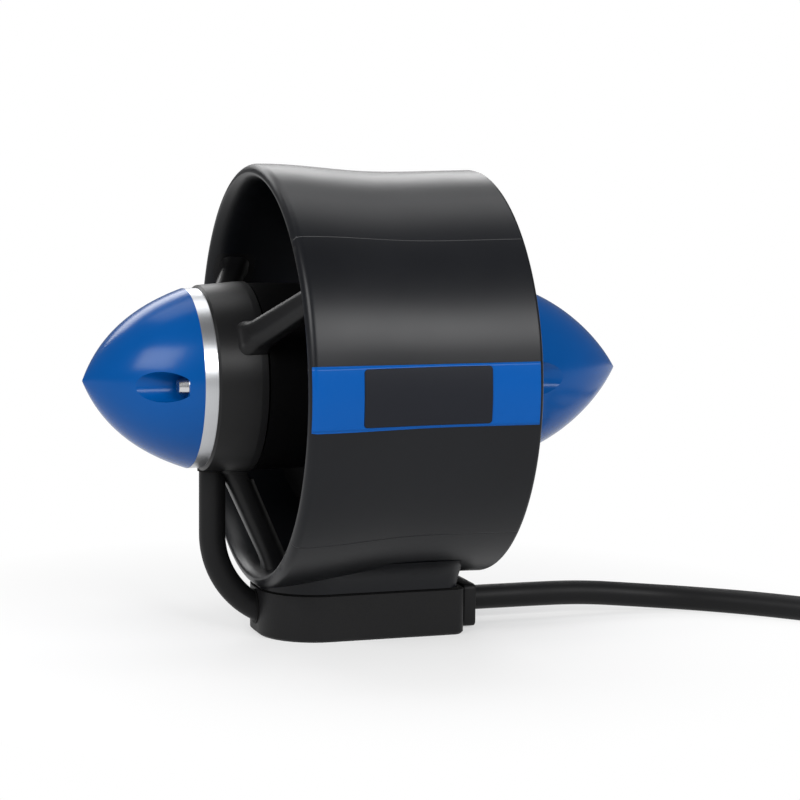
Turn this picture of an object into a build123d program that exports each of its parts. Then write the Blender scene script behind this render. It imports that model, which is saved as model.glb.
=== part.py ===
from build123d import *
import math
import os

# An underwater thruster: a ducted propeller on a long streamlined hub, standing on a wide shoe
# that holds its controller. Everything is modelled about the propeller axis, which is X, with
# the inlet towards -X and the shoe below. The last section lifts it so that the shoe's flat
# underside lies on z = 0.

# Heights
pedestal_height = 3.6
shoe_gap = 1.0
shoe_height = 21.9
near_side = 180.0

# Duct
duct_front_x = -56.5
duct_length = 110.5
lip_nose_radius = 4.0
lip_radius = 100.0
waist_x = -2.0
waist_drop = 3.5
tail_rise = 0.4
duct_tail_edge = 1.9
throat_wall = 5.3
bell_mouth_length = 18.0
outlet_wall = 4.3
outlet_length = 26.0

# Side band and plate
band_half_angle = 8.45
band_thickness = 1.5
band_proud = 0.3
band_side_gap = 0.06
band_end_gap = 1.4
plate_length = 60.8
plate_height = 25.8
plate_corner = 1.6
plate_depth = 0.5
plate_proud = 0.25
plate_gap = 0.15
plate_center_x = -1.2

# Fixed hub, struts and front ring
hub_front_x = -82.5
hub_length = 22.7
hub_radius = 43.5
hub_rim_radius = 44.9
hub_rim_length = 3.2
hub_bore_radius = 30.0
hub_web_thickness = 5.0
hub_edge = 1.0
strut_count = 3
strut_first_angle = 30.0
strut_sweep = 0.449
strut_root_x = -64.8
strut_root_chord = 9.6
strut_root_thickness = 10.5
strut_tip_chord = 10.0
strut_tip_thickness = 8.6
strut_corner = 3.0
pad_socket_gap = 0.05
pad_seat_depth = 2.8
strut_flush_radius = 46.5
pad_length = 20.0
pad_width = 17.0
pad_height = 1.8
pad_corner = 4.0

# Cones and their screws
ring_radius = 42.1
ring_thickness = 6.3
spigot_length = 5.0
spigot_clearance = 0.05
cone_length = 48.2
cone_base_angle = 15.2
cone_nose_pull = 13.6
cone_base_pull = 24.6
cone_wall = 3.0
cone_screw_count = 4
cone_screw_circle_radius = 33.4
counterbore_radius = 6.95
counterbore_floor = 6.7
cone_boss_wall = 2.4
screw_radius = 2.0
screw_head_radius = 3.7
screw_head_height = 2.8
screw_clearance = 0.25
screw_recess_width = 1.0
screw_recess_depth = 1.5
screw_engagement = 5.0
web_screw_angle = 45.0
web_screw_length = 13.0

# Motor
tube_radius = 14.0
tube_bore_radius = 9.0
front_bearing_depth = 5.0
cap_radius = 15.0
cap_thickness = 2.5
cap_fit = 0.05
shaft_radius = 4.0
shaft_front_reach = 1.75
shaft_rear_reach = 2.0
clip_thickness = 1.0
clip_radius = 6.2
bearing_outer_radius = 11.0
bearing_width = 7.0
bearing_race_wall = 1.9
bearing_inner_wall = 1.75
ball_count = 7
ball_clearance = 0.03
ball_radius = 1.985
cage_wall = 2.2
cage_width = 4.6
seal_thickness = 3.0
seal_clearance = 0.05
stack_length = 34.0
stack_radius = 31.8
stack_yoke_radius = 20.0
tooth_count = 12
tooth_width = 5.0
tooth_tip_height = 2.4
tooth_tip_gap = 2.6
coil_wall = 2.3
coil_gap = 0.1
stack_to_hub = 14.0
air_gap = 0.7
magnet_count = 14
magnet_thickness = 2.8
magnet_fill = 0.86
can_wall = 2.6
can_front_gap = 2.5
bell_thickness = 6.0
bell_boss_radius = 9.0
bell_boss_length = 8.0
bell_nose_radius = 5.5
nut_width = 13.0
nut_height = 6.0
wire_radius = 1.3
wire_spacing = 4.0
wire_height = -21.5
wire_bend = 4.0

# Propeller and tail
rotor_gap = 1.0
prop_hub_length = 128.8
prop_hub_front_radius = 44.2
prop_hub_wall = 3.0
prop_web_thickness = 5.0
prop_fit = 0.1
prop_screw_circle_radius = 22.0
tail_lug_radius = 6.0
tail_lug_length = 12.0
blade_count = 4
blade_center_x = -14.0
blade_pitch = 150.0
blade_tip_gap = 1.2
blade_root_chord = 40.0
blade_mid_chord = 52.0
blade_tip_chord = 46.0
blade_root_thickness = 7.0
blade_tip_thickness = 2.4
blade_camber = 0.05
blade_skew = 16.0
blade_first_angle = 60.0
blade_edge = 0.7

# Shoe under the duct
shoe_front_x = -54.0
shoe_length = 95.6
shoe_half_width = 32.8
shoe_front_corner = 27.4
shoe_rear_corner = 6.0
shoe_wall = 4.0
shoe_floor = 4.5
shoe_edge = 1.0
pedestal_rear_inset = 3.6
pedestal_inset = 0.4
flare_radius = 28.0
flare_steps = 5
flare_bite = 1.2
gasket_inset = 1.6
gasket_width = 2.0
shoe_screw_inset = 6.4
shoe_screw_head_radius = 3.6
shoe_screw_head_height = 3.4
shoe_screw_length = 22.0
mount_spacing_x = 50.0
mount_spacing_y = 36.0
mount_center_x = 0.0
mount_thread_radius = 2.5
insert_radius = 3.6
insert_length = 6.5
insert_boss_radius = 5.4
insert_boss_height = 3.0

# Controller inside the shoe
board_length = 58.0
board_width = 40.0
board_thickness = 1.6
board_center_x = 0.0
transistor_size = 8.0
transistor_height = 2.0
transistor_pitch = 13.0
capacitor_radius = 4.0
capacitor_length = 9.0
capacitor_pitch = 11.0

# Motor lead and power cable
lead_radius = 6.25
lead_x = -75.1
lead_arc_radius = 42.0
lead_arc_angle = 60.0
lead_arc_rise = 27.1
lead_inner_reach = 6.0
lead_groove_gap = 0.3
grommet_wall = 1.0
hub_grommet_wall = 0.75
grommet_proud = 0.6
cable_radius = 6.0
bend_share = 0.45
gland_neck_length = 6.9
gland_neck_radius = 8.0
gland_thread_radius = 6.0
gland_cap_length = 6.3
gland_cap_width = 19.0
gland_cap_height = 20.5
gland_cap_corner = 3.5
gland_edge = 0.8
cable_seat = 2.0
cable_fit = 0.05

# Connector on the end of the cable
plug_boot_length = 26.0
plug_body_length = 10.0
plug_body_radius = 9.5
plug_face_radius = 8.6
plug_face_length = 4.0
plug_pin_count = 4
plug_pin_circle = 4.6
plug_pin_radius = 1.0
plug_pin_length = 7.0
plug_nut_radius = 12.0
plug_nut_length = 20.0
plug_nut_overlap = 6.0
plug_nut_gap = 0.1
plug_nut_edge = 0.6
boot_flare = 1.0
boot_floor_gap = 0.8
boot_groove_width = 1.5

# Places worked out from the sizes above
waist_radius = lip_radius - waist_drop
duct_tail_radius = waist_radius + tail_rise
throat_radius = waist_radius - throat_wall
outlet_radius = duct_tail_radius - outlet_wall
pad_socket_radius = throat_radius + pad_seat_depth
shoe_gap_height = waist_radius + pedestal_height
axis_height = shoe_gap_height + shoe_gap + shoe_height
duct_rear_x = duct_front_x + duct_length
lip_x = duct_front_x + lip_nose_radius
lip_center_radius = lip_radius - lip_nose_radius
hub_rear_x = hub_front_x + hub_length
ring_front_x = hub_front_x - ring_thickness
nose_tip_x = ring_front_x - cone_length
prop_front_x = hub_rear_x + rotor_gap
prop_rear_x = prop_front_x + prop_hub_length
tail_base_x = prop_rear_x + ring_thickness
stack_front_x = hub_rear_x + stack_to_hub
stack_rear_x = stack_front_x + stack_length
magnet_inner_radius = stack_radius + air_gap
can_inner_radius = magnet_inner_radius + magnet_thickness
can_outer_radius = can_inner_radius + can_wall
coil_overhang = coil_wall + coil_gap
can_front_x = hub_rear_x + can_front_gap
bell_front_x = stack_rear_x + coil_overhang + can_front_gap
bell_rear_x = bell_front_x + bell_thickness
tube_rear_x = bell_front_x - 1.0
front_bearing_x = ring_front_x + front_bearing_depth
rear_bearing_x = tube_rear_x - seal_thickness - bearing_width
shoe_rear_x = shoe_front_x + shoe_length
shoe_top = -(shoe_gap_height + shoe_gap)
shoe_bottom = -axis_height
cable_height = (shoe_top + shoe_bottom) / 2
lead_arc_top = shoe_top + lead_arc_rise
prop_web_x = bell_rear_x
gland_x = shoe_rear_x + gland_neck_length

os.makedirs("parts", exist_ok=True)


def turned(points_or_edges, arc=360.0, start=0.0):
    """A solid turned about the propeller axis from a closed outline of (x, radius)."""
    if isinstance(points_or_edges[0], tuple):
        outline = make_face(Polyline(*points_or_edges, close=True))
    else:
        outline = make_face(Wire(points_or_edges))
    return revolve(outline.rotate(Axis.X, start), Axis.X, arc)


def tube(x_start, x_end, outer, inner=0.0):
    """A straight tube, or a rod where inner is 0, along the propeller axis."""
    return turned([(x_start, inner), (x_start, outer), (x_end, outer), (x_end, inner)])


def rod(x_start, x_end, radius, y=0.0, z=0.0):
    """A round bar parallel to the propeller axis."""
    plane = Plane(origin=(x_start, y, z), x_dir=(0, 1, 0), z_dir=(1, 0, 0))
    return extrude(plane * Circle(radius), x_end - x_start)


def around(solid, count, first=0.0):
    """Copies of a solid spaced evenly about the propeller axis."""
    return [solid.rotate(Axis.X, first + index * 360.0 / count) for index in range(count)]


def group(solids):
    """One named piece made of separate solids."""
    flat = []
    for item in solids:
        flat.extend(item.solids())
    return Compound(children=flat)


def write(name, shape):
    """Lifts a piece to its standing height and writes its file."""
    solids = shape.solids()
    lifted = shape.moved(Location((0, 0, axis_height)))
    body = lifted.solids()[0] if len(solids) == 1 else Compound(children=lifted.solids())
    body.label = name
    export_step(body, f"parts/{name}.step")
    written.append((name, len(solids), sum(s.volume for s in solids)))


written = []


# Duct outline, from the lip's nose round the bead and along the waisted outside
def outer_line(offset=0.0, nose_angle=90.0, rear_trim=0.0):
    """Edges of the duct's outside, from the nose of the lip to the tail, pushed out by offset."""
    bead = CenterArc((lip_x, lip_center_radius), lip_nose_radius + offset, 90, nose_angle)
    tail_x = duct_rear_x - duct_tail_edge - rear_trim
    body = Spline(
        [(lip_x, lip_radius + offset), (waist_x, waist_radius + offset), (tail_x, duct_tail_radius + offset)],
        tangents=[(1, 0), (1, 0.012)],
    )
    return bead, body


def mouth_line(inset):
    """Quarter ellipse of the bell mouth, drawn inwards by inset where it meets the throat."""
    throat_x = duct_front_x + bell_mouth_length
    drop = lip_center_radius - throat_radius + inset
    return EllipticalCenterArc((throat_x, lip_center_radius), bell_mouth_length, drop, 180, arc_size=90)


def duct_ring():
    """The nozzle: a rounded bead at the lip, a bell mouth, a parallel throat and a thin tail."""
    bead, body = outer_line()
    throat_x = duct_front_x + bell_mouth_length
    mouth = mouth_line(0.0)
    tail_top = body @ 1
    tail_outer = RadiusArc(tail_top, (duct_rear_x, tail_top.Y - duct_tail_edge), duct_tail_edge)
    inner_tail = (duct_rear_x, outlet_radius + duct_tail_edge)
    outlet = (duct_rear_x - duct_tail_edge, outlet_radius)
    tail_inner = RadiusArc(inner_tail, outlet, duct_tail_edge)
    flare_start = (duct_rear_x - outlet_length, throat_radius)
    flare = Spline([outlet, flare_start], tangents=[(-1, -0.07), (-1, 0)])
    tail_face = Line(tail_outer @ 1, inner_tail)
    throat = Line(flare_start, (throat_x, throat_radius))
    return turned([bead, body, tail_outer, tail_face, tail_inner, flare, throat, mouth])


def shoe_outline(half_width, front_x, rear_x, bow, stern):
    """Plan outline with a wide rounded bow towards -X and a squarer stern."""
    outline = Polyline(
        (front_x, -half_width), (rear_x, -half_width), (rear_x, half_width), (front_x, half_width), close=True
    )
    face = make_face(outline)
    face = fillet(face.vertices().sort_by(Axis.X)[2:], stern)
    return fillet(face.vertices().sort_by(Axis.X)[:2], bow)


def shoe_plan(inset=0.0):
    """Plan of the shoe itself, drawn in by inset."""
    bow = shoe_front_corner - inset
    stern = max(shoe_rear_corner - inset, 1.0)
    return shoe_outline(shoe_half_width - inset, shoe_front_x + inset, shoe_rear_x - inset, bow, stern)


def prism(face, bottom, top):
    """A plan outline drawn up between two heights."""
    return extrude(Location((0, 0, bottom)) * face, top - bottom)


def upright(x, y, bottom, top, radius):
    """A vertical round bar."""
    return extrude(Location((x, y, bottom)) * Circle(radius), top - bottom)


def sweep_tube(points, radii, radius):
    """A round cord or wire along straight runs joined by tangent arcs."""
    path = FilletPolyline(*points, radius=radii)
    section = Plane(origin=path @ 0, z_dir=path % 0) * Circle(radius)
    solid = sweep(section, path=path)
    ratio = solid.volume / (math.pi * radius**2 * path.length)
    print("cord volume ratio", round(ratio, 4), "length", round(path.length, 1))
    return solid


def cord_radii(points):
    """Bend radii as large as the runs allow, one for each inner point."""
    vectors = [Vector(*p) for p in points]
    radii = []
    for before, corner, after in zip(vectors, vectors[1:], vectors[2:]):
        turn = math.radians((corner - before).get_angle(after - corner))
        run = min((corner - before).length, (after - corner).length)
        radii.append(bend_share * run / math.tan(turn / 2))
    return radii


def placed(solid, origin, direction):
    """Moves a piece drawn along Z so that its Z points along direction at origin."""
    return Plane(origin=origin, z_dir=direction).location * solid


def screw(head_radius, head_height, radius, length, recess=screw_recess_width):
    """A socket screw drawn with the underside of its head at z = 0 and its shank below."""
    head = extrude(Circle(head_radius), head_height)
    head = chamfer(head.edges().sort_by(Axis.Z)[-1], head_height * 0.2)
    shank = extrude(Circle(radius), -length)
    socket = Location((0, 0, head_height - screw_recess_depth)) * RegularPolygon(recess, 6)
    return head + shank - extrude(socket, screw_recess_depth)


def screws_along_axis(places, seat_x, way, length):
    """M4 socket screws along the propeller axis with their heads towards way, as one group."""
    return group([
        placed(screw(screw_head_radius, screw_head_height, screw_radius, length), (seat_x, y, z), (way, 0, 0))
        for y, z in places
    ])


def circle_points(count, radius, first=0.0):
    """Points (y, z) spaced evenly about the propeller axis."""
    turns = [math.radians(first + index * 360.0 / count) for index in range(count)]
    return [(radius * math.cos(turn), radius * math.sin(turn)) for turn in turns]


# Duct with its pedestal
def flare_half_width(height):
    """Half width of the pedestal at a height, on an arc that meets the duct almost in line."""
    foot = shoe_half_width - pedestal_inset
    reach = waist_radius + flare_radius
    span = math.hypot(foot, shoe_gap_height)
    cosine = (reach**2 + span**2 - flare_radius**2) / (2 * reach * span)
    turn = math.atan2(foot, shoe_gap_height) + math.acos(cosine)
    center_y = reach * math.sin(turn)
    center_z = -reach * math.cos(turn)
    top = waist_radius - flare_bite
    meet = (top * math.sin(turn), -top * math.cos(turn))
    across = math.sqrt(flare_radius**2 - (height - center_z) ** 2)
    return center_y - across, meet[1]


def pedestal():
    """The saddle moulded under the duct, flared sideways up into it."""
    top = flare_half_width(-shoe_gap_height)[1]
    front = shoe_front_x + pedestal_inset
    rear = shoe_rear_x - pedestal_rear_inset
    sections = []
    for step in range(flare_steps + 1):
        height = -shoe_gap_height + (top + shoe_gap_height) * step / flare_steps
        width = flare_half_width(height)[0]
        bow = shoe_front_corner - pedestal_inset + width - (shoe_half_width - pedestal_inset)
        sections.append(Location((0, 0, height)) * shoe_outline(width, front, rear, bow, shoe_rear_corner))
    body = loft(sections)
    wall_middle = (throat_radius + waist_radius) / 2
    hollow = turned([
        (duct_front_x, 0), (duct_front_x, lip_center_radius), (duct_front_x + bell_mouth_length, wall_middle),
        (duct_rear_x, wall_middle), (duct_rear_x, 0),
    ])
    return body - hollow


def side_sector(inner_offset, outer_offset, half_angle, front_angle, rear_x):
    """A slice of the duct's outer skin on the near side, between two offsets of its outline."""
    outer_bead, outer_body = outer_line(outer_offset, front_angle)
    inner_bead, inner_body = outer_line(inner_offset, front_angle)
    front = Line(outer_bead @ 1, inner_bead @ 1)
    rear = Line(inner_body @ 1, outer_body @ 1)
    sector = turned(
        [outer_bead, outer_body, rear, inner_body, inner_bead, front], 2 * half_angle, near_side - half_angle
    )
    return sector & rod(duct_front_x - lip_nose_radius, rear_x, 2 * lip_radius)


def gap_angle(gap):
    """The angle that a gap takes at the duct's skin."""
    return math.degrees(gap / lip_radius)


band_rear_x = duct_rear_x - band_end_gap
band_front_angle = 45.0
band_depth = band_thickness - band_proud
side_band = side_sector(-band_depth, band_proud, band_half_angle, band_front_angle, band_rear_x)
band_pocket = side_sector(
    -band_depth, 2 * band_thickness, band_half_angle + gap_angle(band_side_gap),
    band_front_angle + gap_angle(band_side_gap), band_rear_x + band_side_gap,
)


def plate_block(gap, inner_offset, outer_offset):
    """The name plate's rounded rectangle, drawn through a slice of the band."""
    outline = RectangleRounded(plate_length + 2 * gap, plate_height + 2 * gap, plate_corner + gap)
    plane = Plane(origin=(plate_center_x, 0, 0), x_dir=(1, 0, 0), z_dir=(0, -1, 0))
    block = extrude(plane * outline, 2 * lip_radius)
    skin = side_sector(inner_offset, outer_offset, band_half_angle, band_front_angle, band_rear_x)
    return block & skin


plate_floor = band_proud - plate_depth
name_plate = plate_block(0.0, plate_floor, band_proud + plate_proud)
side_band -= plate_block(plate_gap, plate_floor, 2 * band_thickness)


def strut_turns():
    """Angles of the struts about the axis, measured from +Y towards +Z."""
    return [strut_first_angle + index * 360.0 / strut_count for index in range(strut_count)]


def strut_middle(radius):
    """Where the middle of a swept strut lies along the axis at a radius."""
    return strut_root_x + strut_sweep * (radius - hub_radius)


def strut_pad(gap):
    """The foot of a strut: a rounded plate let into the bell mouth, drawn for a strut along +Z."""
    plate = RectangleRounded(pad_length + 2 * gap, pad_width + 2 * gap, pad_corner)
    block = extrude(Location((strut_middle(throat_radius), 0, throat_radius / 2)) * plate, throat_radius)
    curve = mouth_line(pad_height)
    rear = (duct_front_x + bell_mouth_length + pad_length, throat_radius - pad_height)
    outer_rear = (rear[0], pad_socket_radius + gap)
    outer_front = (lip_x, pad_socket_radius + gap)
    nose = curve @ 0
    throat_line = Line(curve @ 1, rear)
    rear_line = Line(rear, outer_rear)
    seat_line = Line(outer_rear, outer_front)
    front_line = Line(outer_front, nose)
    return block & turned([curve, throat_line, rear_line, seat_line, front_line])


ring = duct_ring()
duct = ring + pedestal()
duct -= band_pocket
for turn in strut_turns():
    duct -= strut_pad(pad_socket_gap).rotate(Axis.X, turn - 90.0)

# Shoe that holds the controller
shoe_floor_top = shoe_bottom + shoe_floor


def shoe_screw_places():
    """Screws along both sides, at the stern and round the bow."""
    side = shoe_half_width - shoe_screw_inset
    bow_center_x = shoe_front_x + shoe_front_corner
    bow_reach = (shoe_front_corner - shoe_screw_inset) * math.sqrt(0.5)
    stern_x = shoe_rear_x - shoe_screw_inset - 2.0
    bow_side = shoe_half_width - shoe_front_corner + bow_reach
    middle_x = (bow_center_x + stern_x) / 2 + shoe_screw_inset
    one_side = ((stern_x, side), (middle_x, side), (bow_center_x - bow_reach, bow_side))
    return [(x, sign * y) for x, y in one_side for sign in (-1, 1)]


control_box = prism(shoe_plan(), shoe_bottom, shoe_top)
bottom_rim = control_box.faces().sort_by(Axis.Z)[0].edges()
control_box = chamfer(bottom_rim, shoe_edge)
control_box -= prism(shoe_plan(shoe_wall), shoe_floor_top, shoe_top)
boss_radius = shoe_screw_head_radius + shoe_edge
shoe_block = prism(shoe_plan(), shoe_floor_top, shoe_top)
for x, y in shoe_screw_places():
    boss = upright(x, y, shoe_floor_top, shoe_top, boss_radius)
    control_box += boss & shoe_block
shoe_screw_seat = shoe_bottom + shoe_screw_head_height + shoe_edge / 2
for x, y in shoe_screw_places():
    control_box -= upright(x, y, shoe_bottom, shoe_screw_seat, shoe_screw_head_radius + screw_clearance)
    control_box -= upright(x, y, shoe_bottom, shoe_top, screw_radius + screw_clearance)

mount_places = [
    (mount_center_x + end * mount_spacing_x / 2, side * mount_spacing_y / 2)
    for end in (-1, 1) for side in (-1, 1)
]
insert_boss_top = shoe_floor_top + insert_boss_height
for x, y in mount_places:
    control_box += upright(x, y, shoe_floor_top, insert_boss_top, insert_boss_radius)
for x, y in mount_places:
    control_box -= upright(x, y, shoe_bottom, shoe_bottom + insert_length, insert_radius)
mount_inserts = group([
    upright(x, y, shoe_bottom, shoe_bottom + insert_length, insert_radius)
    - upright(x, y, shoe_bottom, shoe_bottom + insert_length, mount_thread_radius)
    for x, y in mount_places
])

shoe_screw = screw(shoe_screw_head_radius, shoe_screw_head_height, screw_radius, shoe_screw_length)
box_screws = group([placed(shoe_screw, (x, y, shoe_screw_seat), (0, 0, -1)) for x, y in shoe_screw_places()])
for x, y in shoe_screw_places():
    hole_top = shoe_screw_seat + shoe_screw_length + screw_clearance
    duct -= upright(x, y, -shoe_gap_height, hole_top, screw_radius)

box_gasket = prism(shoe_plan(gasket_inset), shoe_top, -shoe_gap_height)
box_gasket -= prism(shoe_plan(gasket_inset + shoe_wall + gasket_width), shoe_top, -shoe_gap_height)
rear_face = shoe_rear_x - pedestal_rear_inset - pedestal_inset
gasket_middle = Location(((rear_face + shoe_front_x) / 2, 0, -shoe_gap_height))
box_gasket &= gasket_middle * Box(rear_face - shoe_front_x, 4 * shoe_half_width, 4 * shoe_gap)
for x, y in shoe_screw_places():
    box_gasket -= upright(x, y, shoe_top, -shoe_gap_height, screw_radius + screw_clearance)

# Controller
board_bottom = insert_boss_top
board_top = board_bottom + board_thickness
board_middle = Location((board_center_x, 0, board_bottom + board_thickness / 2))
controller_board = board_middle * Box(board_length, board_width, board_thickness)
transistor_level = board_top + transistor_height / 2
transistor_places = [
    (board_center_x + column * transistor_pitch, row * transistor_pitch / 2)
    for column in (-1, 0, 1) for row in (-1, 1)
]
power_transistors = group([
    Location((x, y, transistor_level)) * Box(transistor_size, transistor_size, transistor_height)
    for x, y in transistor_places
])
capacitor_x = board_center_x + board_length / 2 - 2 * capacitor_radius
filter_capacitors = group([
    upright(capacitor_x, row * capacitor_pitch, board_top, board_top + capacitor_length, capacitor_radius)
    for row in (-1, 0, 1)
])

# Motor lead from the hub down to the shoe
lead_turn = math.radians(lead_arc_angle)
lead_tangent = lead_arc_radius * math.tan(lead_turn / 2)
lead_corner = (lead_x, 0, lead_arc_top - lead_tangent)
lead_direction = Vector(math.sin(lead_turn), 0, -math.cos(lead_turn))
lead_end = Vector(*lead_corner) + lead_direction * (lead_tangent + lead_inner_reach)
lead_points = [(lead_x, 0, -hub_bore_radius), lead_corner, lead_end]
motor_lead = sweep_tube(lead_points, [lead_arc_radius], lead_radius)
lead_entry = Vector(*lead_corner) + lead_direction * lead_tangent
entry_start = lead_entry - lead_direction * lead_inner_reach
entry_plane = Plane(origin=entry_start, z_dir=lead_direction)
entry_hole = extrude(entry_plane * Circle(lead_radius + grommet_wall), 4 * lead_inner_reach)
grommet_rear_x = shoe_front_x + shoe_wall + grommet_proud
control_box -= entry_hole & rod(shoe_front_x - shoe_wall, grommet_rear_x, axis_height)
slab = rod(shoe_front_x - grommet_proud, grommet_rear_x, axis_height)
entry_grommet = (entry_hole - motor_lead) & slab

# Fixed hub with its struts
stator_frame = turned([
    (hub_front_x, hub_bore_radius), (hub_front_x, hub_radius - hub_edge),
    (hub_front_x + hub_edge, hub_radius),
    (hub_rear_x - hub_rim_length, hub_rim_radius), (hub_rear_x, hub_rim_radius), (hub_rear_x, tube_radius),
    (hub_rear_x - hub_web_thickness, tube_radius), (hub_rear_x - hub_web_thickness, hub_bore_radius),
])


def strut_section(radius, chord, thickness):
    """A rounded bar section square to the radius, for a strut along +Z."""
    corner = min(strut_corner, 0.45 * thickness)
    return Location((strut_middle(radius), 0, radius)) * RectangleRounded(chord, thickness, corner)


hub_root_radius = (hub_bore_radius + hub_radius) / 2
strut_outer_radius = throat_radius + pad_height / 2
strut = loft([
    strut_section(hub_root_radius, strut_root_chord, strut_root_thickness),
    strut_section(strut_outer_radius, strut_tip_chord, strut_tip_thickness),
])
strut += strut_pad(0.0)
strut -= tube(hub_rear_x, hub_rear_x + strut_root_chord, strut_flush_radius)
for turn in strut_turns():
    stator_frame += strut.rotate(Axis.X, turn - 90.0)
lead_hole_radius = lead_radius + hub_grommet_wall
lead_hole_bottom = -hub_rim_radius - 2 * grommet_proud
stator_frame -= upright(lead_x, 0, lead_hole_bottom, -hub_bore_radius + grommet_proud, lead_hole_radius)
stator_frame -= upright(lead_x, 0, lead_arc_top, -hub_rim_radius, lead_radius + lead_groove_gap)
lead_grommet = upright(lead_x, 0, -hub_radius - grommet_proud, -hub_bore_radius, lead_hole_radius)
lead_grommet -= upright(lead_x, 0, -hub_radius - grommet_proud, -hub_bore_radius, lead_radius)
lead_grommet -= tube(hub_front_x, hub_rear_x, hub_bore_radius)

# Turned motor mount: the bright ring, its spigot and the long bearing tube
spigot_radius = hub_bore_radius - spigot_clearance
spigot_rear_x = hub_front_x + spigot_length
motor_mount = tube(ring_front_x, hub_front_x, ring_radius) + tube(hub_front_x, spigot_rear_x, spigot_radius)
motor_mount += tube(spigot_rear_x, tube_rear_x, tube_radius)
motor_mount -= tube(ring_front_x, tube_rear_x, tube_bore_radius)
front_bearing_end = front_bearing_x + bearing_width
motor_mount -= tube(ring_front_x, front_bearing_end, bearing_outer_radius)
motor_mount -= tube(ring_front_x, ring_front_x + cap_thickness, cap_radius + cap_fit)
motor_mount -= tube(rear_bearing_x, tube_rear_x, bearing_outer_radius)
oring_radius = 1.0
oring_x = hub_front_x + spigot_length / 2
oring_section = Location((oring_x, hub_bore_radius - oring_radius)) * Circle(oring_radius)
mount_oring = revolve(oring_section, Axis.X)
groove_floor = hub_bore_radius - 2 * oring_radius
motor_mount -= tube(oring_x - oring_radius, oring_x + oring_radius, hub_bore_radius, groove_floor)
bearing_cap = tube(ring_front_x, ring_front_x + cap_thickness, cap_radius)

web_screw_radius = (hub_bore_radius + hub_radius) / 2
web_screw_seat = ring_front_x + screw_head_height + screw_clearance
web_screw_places = circle_points(cone_screw_count, web_screw_radius, web_screw_angle)
for y, z in web_screw_places:
    motor_mount -= rod(ring_front_x, web_screw_seat, screw_head_radius + screw_clearance, y, z)
    motor_mount -= rod(web_screw_seat, hub_front_x, screw_radius + screw_clearance, y, z)
    stator_frame -= rod(hub_front_x, web_screw_seat + web_screw_length + screw_clearance, screw_radius, y, z)
mount_screws = screws_along_axis(web_screw_places, web_screw_seat, -1, web_screw_length)


# Streamlined cones
def cone_edges(length, radius, wall):
    """Blunt ogive outline with its tip at x = wall and its base at x = length."""
    turn = math.radians(cone_base_angle)
    tip = (wall, 0)
    over_tip = (wall, cone_nose_pull * (radius - wall) / radius)
    before_base = (length - cone_base_pull * math.cos(turn), radius - wall - cone_base_pull * math.sin(turn))
    base = (length, radius - wall)
    return [Bezier(tip, over_tip, before_base, base), Line(base, (length, 0)), Line((length, 0), tip)]


def screw_cone(circle_radius, bore_radius, floor, first=0.0):
    """A hollow ogive with screw bosses, counterbored along the axis, drawn tip first towards -X."""
    outside = turned(cone_edges(cone_length, ring_radius, 0.0))
    solid = outside - turned(cone_edges(cone_length, ring_radius, cone_wall))
    floor_x = cone_length - floor
    for y, z in circle_points(cone_screw_count, circle_radius, first):
        solid += rod(0, cone_length, bore_radius + cone_boss_wall, y, z) & outside
    for y, z in circle_points(cone_screw_count, circle_radius, first):
        solid -= rod(0, floor_x, bore_radius, y, z)
        solid -= rod(0, cone_length, screw_radius + screw_clearance, y, z)
    return solid


nose_shell = screw_cone(cone_screw_circle_radius, counterbore_radius, counterbore_floor)
nose_cone = Location((nose_tip_x, 0, 0)) * nose_shell
nose_seat = ring_front_x - counterbore_floor
nose_screw_length = counterbore_floor + screw_engagement
nose_screw_places = circle_points(cone_screw_count, cone_screw_circle_radius)
nose_screws = screws_along_axis(nose_screw_places, nose_seat, -1, nose_screw_length)
for y, z in nose_screw_places:
    motor_mount -= rod(ring_front_x, ring_front_x + screw_engagement + screw_clearance, screw_radius, y, z)

# Stator
stack = Circle(stack_yoke_radius) - Circle(tube_radius)
tip_inner = stack_radius - tooth_tip_height
tip_angle = 360.0 / tooth_count - math.degrees(tooth_tip_gap / stack_radius)
tip_side = math.tan(math.radians(tip_angle / 2)) * 2 * stack_radius
tip_reach = 2 * stack_radius
tip_wedge = make_face(Polyline((0, 0), (tip_reach, -tip_side), (tip_reach, tip_side), close=True))
tip = (Circle(stack_radius) - Circle(tip_inner)) & tip_wedge
tooth_length = stack_radius - tube_radius - tooth_tip_height / 2
tooth = Location((tube_radius + 1 + tooth_length / 2, 0)) * Rectangle(tooth_length, tooth_width)
tooth_face = (tooth & Circle(stack_radius)) + tip
for index in range(tooth_count):
    stack += tooth_face.rotate(Axis.Z, index * 360.0 / tooth_count)
stack_plane = Plane(origin=(stack_front_x, 0, 0), x_dir=(0, 0, -1), z_dir=(1, 0, 0))
stator_core = extrude(stack_plane * stack, stack_length)

coil_inner = stack_yoke_radius + coil_gap
coil_window_x = stack_length + 2 * coil_gap
coil_window_y = tooth_width + 2 * coil_gap
coil_outer = math.sqrt(tip_inner**2 - (coil_window_y / 2 + coil_wall) ** 2) - coil_gap
coil_frame = Rectangle(coil_window_x + 2 * coil_wall, coil_window_y + 2 * coil_wall)
coil_frame -= Rectangle(coil_window_x, coil_window_y)
coil_bottom = coil_inner + coil_wall
coil_base = Location((stack_front_x + stack_length / 2, 0, coil_bottom))
coil = extrude(coil_base * coil_frame, coil_outer - coil_bottom)
stator_windings = group(around(coil, tooth_count))

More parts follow.
